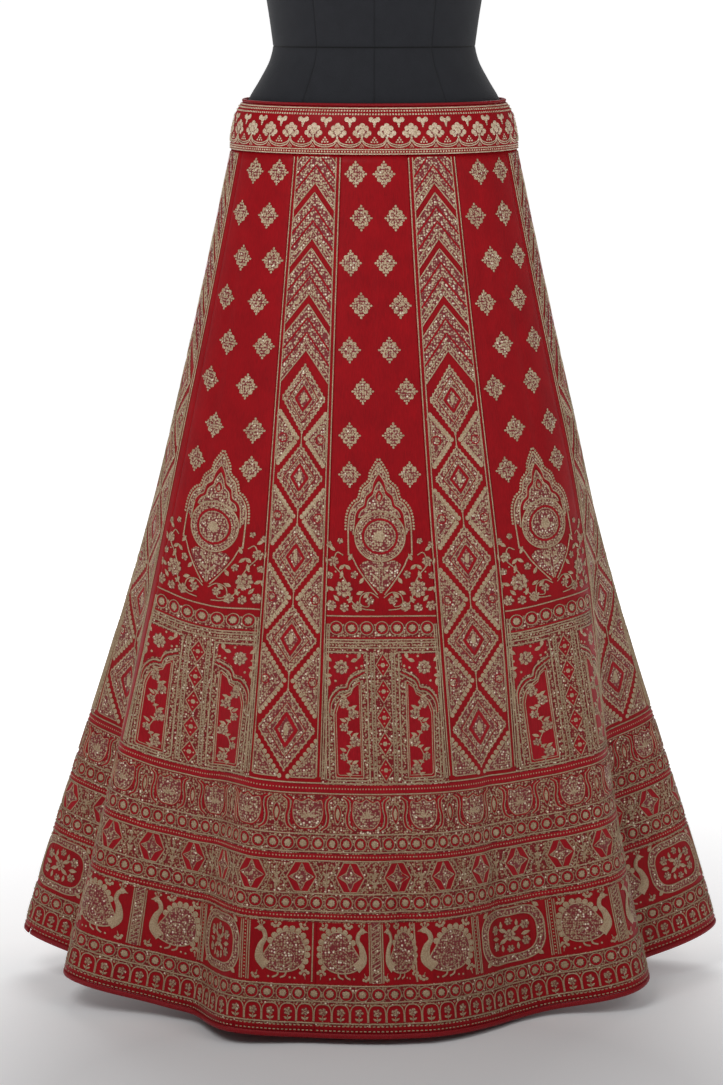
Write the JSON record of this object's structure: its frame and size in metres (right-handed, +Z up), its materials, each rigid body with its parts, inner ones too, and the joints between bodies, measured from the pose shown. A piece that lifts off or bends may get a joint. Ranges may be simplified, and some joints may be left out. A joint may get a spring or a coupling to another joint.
{
  "type": "lehenga skirt on a dress form",
  "caption": "Full-length flared panelled lehenga skirt with a shaped waistband and piped hem, standing on a limbless dress form with a pole and round base.",
  "frame": {"origin": "centre of the round base's underside, on the floor", "axes": "+Z up, -Y the front of the skirt, +X the image's right (the wearer's left)"},
  "size_m": [0.8412, 0.5356, 1.5433],
  "materials": {
    "crimson_silk": "crimson silk with a slight sheen and faint upright creases",
    "zari_worked_silk": "crimson silk closely covered in dull antique-gold thread work",
    "red_piping": "red silk piping and facing-side cloth, with gold thread work on the waistband",
    "black_jersey": "matt black stretch jersey over the form",
    "black_steel": "semi-gloss black paint",
    "hook_brass": "plain brass-coloured hooks and eyes"
  },
  "bodies": {
    "root": {"kali_A0_front": "crimson_silk", "kali_A1_left": "crimson_silk", "kali_A1_right": "crimson_silk", "kali_A2_left": "crimson_silk", "kali_A2_right": "crimson_silk", "kali_A3_left": "crimson_silk", "kali_A3_right": "crimson_silk", "kali_B1_left": "zari_worked_silk", "kali_B1_right": "zari_worked_silk", "kali_B2_left": "zari_worked_silk", "kali_B2_right": "zari_worked_silk", "kali_B3_left": "zari_worked_silk", "kali_B3_right": "zari_worked_silk", "kali_B4_back": "zari_worked_silk", "waistband_front": "red_piping", "waistband_back": "red_piping", "band_piping_front": "red_piping", "band_piping_back": "red_piping", "hem_binding_front": "red_piping", "hem_binding_back": "red_piping", "placket_underlap": "crimson_silk", "hook_1": "hook_brass", "hook_2": "hook_brass", "eye_1": "hook_brass", "eye_2": "hook_brass", "form_torso": "black_jersey", "neck_cap": "black_steel", "form_pole": "black_steel", "form_base": "black_steel"}
  },
  "joints": []
}
